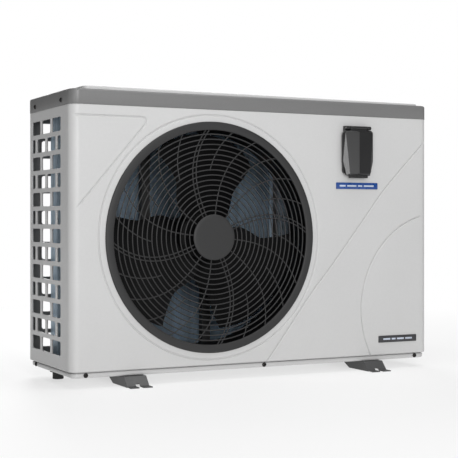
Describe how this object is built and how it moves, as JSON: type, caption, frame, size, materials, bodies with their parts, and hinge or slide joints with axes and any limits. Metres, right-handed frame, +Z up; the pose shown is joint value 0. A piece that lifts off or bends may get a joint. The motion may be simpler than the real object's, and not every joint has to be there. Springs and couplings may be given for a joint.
{
  "type": "pool heat pump",
  "caption": "Low wide sheet-metal pool heat pump with a round front fan guard, side grille, flip-up controller cover and two channel feet.",
  "frame": {"origin": "middle of the object's bounding box on the ground plane under its feet", "axes": "+X to the right as seen from the front, towards the water unions; +Y towards the back; +Z up"},
  "size_m": [1.0158, 0.378, 0.6735],
  "materials": {
    "light_paint": "satin",
    "band_paint": "satin",
    "guard_black": "satin",
    "fan_black": "matt",
    "steel": "brushed",
    "galvanised": "galvanised",
    "foot_paint": "satin",
    "blue_fin": "blue coated fins",
    "copper": "copper",
    "brass": "polished",
    "compressor_black": "satin",
    "pvc": "matt",
    "exchanger_shell": "matt",
    "control_black": "gloss",
    "screen": "gloss",
    "key": "matt",
    "badge_blue": "gloss",
    "badge_grey": "satin",
    "rubber": "matt",
    "board": "solder mask",
    "screw": "black oxide"
  },
  "bodies": {
    "cabinet": {"base_pan": "light_paint", "front_panel": "light_paint", "left_side_guard": "light_paint", "rear_guard": "light_paint", "rear_service_panel": "light_paint", "right_side_panel": "light_paint", "top_lid": "light_paint", "top_band": "band_paint", "terminal_cover": "band_paint", "fan_guard": "guard_black", "guard_cap": "guard_black", "motor_bracket": "guard_black", "fan_shroud": "fan_black", "hinge_pin": "steel", "partition_panel": "galvanised", "electrical_box": "galvanised", "foot_left": "foot_paint", "foot_right": "foot_paint", "evaporator_fins": "blue_fin", "coil_end_plate_left": "blue_fin", "coil_end_plate_right": "blue_fin", "evaporator_header": "copper", "discharge_pipe": "copper", "suction_pipe": "copper", "liquid_pipe": "copper", "four_way_valve": "brass", "expansion_valve": "brass", "compressor": "compressor_black", "accumulator": "compressor_black", "fan_motor": "compressor_black", "inlet_socket": "pvc", "inlet_nut": "pvc", "outlet_socket": "pvc", "outlet_nut": "pvc", "heat_exchanger": "exchanger_shell", "controller_housing": "control_black", "flow_switch": "control_black", "controller_screen": "screen", "front_badge": "badge_blue", "model_badge": "badge_grey", "drain_nozzle": "rubber", "cable_gland": "rubber", "compressor_grommet_1": "rubber", "compressor_grommet_2": "rubber", "compressor_grommet_3": "rubber", "control_board": "board", "lip_screw_left": "screw", "lip_screw_middle": "screw", "lip_screw_right": "screw", "lip_screw_side": "screw", "band_screw_front": "screw", "band_screw_rear": "screw"},
    "fan": {"fan_rotor": "fan_black", "fan_nut": "steel", "motor_shaft": "steel"},
    "cover": {"controller_cover": "control_black"},
    "power_button": {"power_key": "key"},
    "mode_button": {"mode_key": "key"},
    "up_button": {"up_key": "key"},
    "down_button": {"down_key": "key"}
  },
  "joints": [
    {"name": "fan_spin", "type": "hinge", "parent": "cabinet", "child": "fan", "pos_m": [-0.1545, -0.067, 0.332], "axis": [0, 1, 0], "continuous": true},
    {"name": "cover_hinge", "type": "hinge", "parent": "cabinet", "child": "cover", "pos_m": [0.2365, -0.157, 0.598], "axis": [-1, 0, 0], "range_deg": [0, 110]},
    {"name": "power_press", "type": "slide", "parent": "cabinet", "child": "power_button", "axis": [0, 1, 0], "range_m": [0, 0.0012], "stiffness_N_per_m": 600, "springref_m": -0.0005},
    {"name": "mode_press", "type": "slide", "parent": "cabinet", "child": "mode_button", "axis": [0, 1, 0], "range_m": [0, 0.0012], "stiffness_N_per_m": 600, "springref_m": -0.0005},
    {"name": "up_press", "type": "slide", "parent": "cabinet", "child": "up_button", "axis": [0, 1, 0], "range_m": [0, 0.0012], "stiffness_N_per_m": 600, "springref_m": -0.0005},
    {"name": "down_press", "type": "slide", "parent": "cabinet", "child": "down_button", "axis": [0, 1, 0], "range_m": [0, 0.0012], "stiffness_N_per_m": 600, "springref_m": -0.0005}
  ]
}
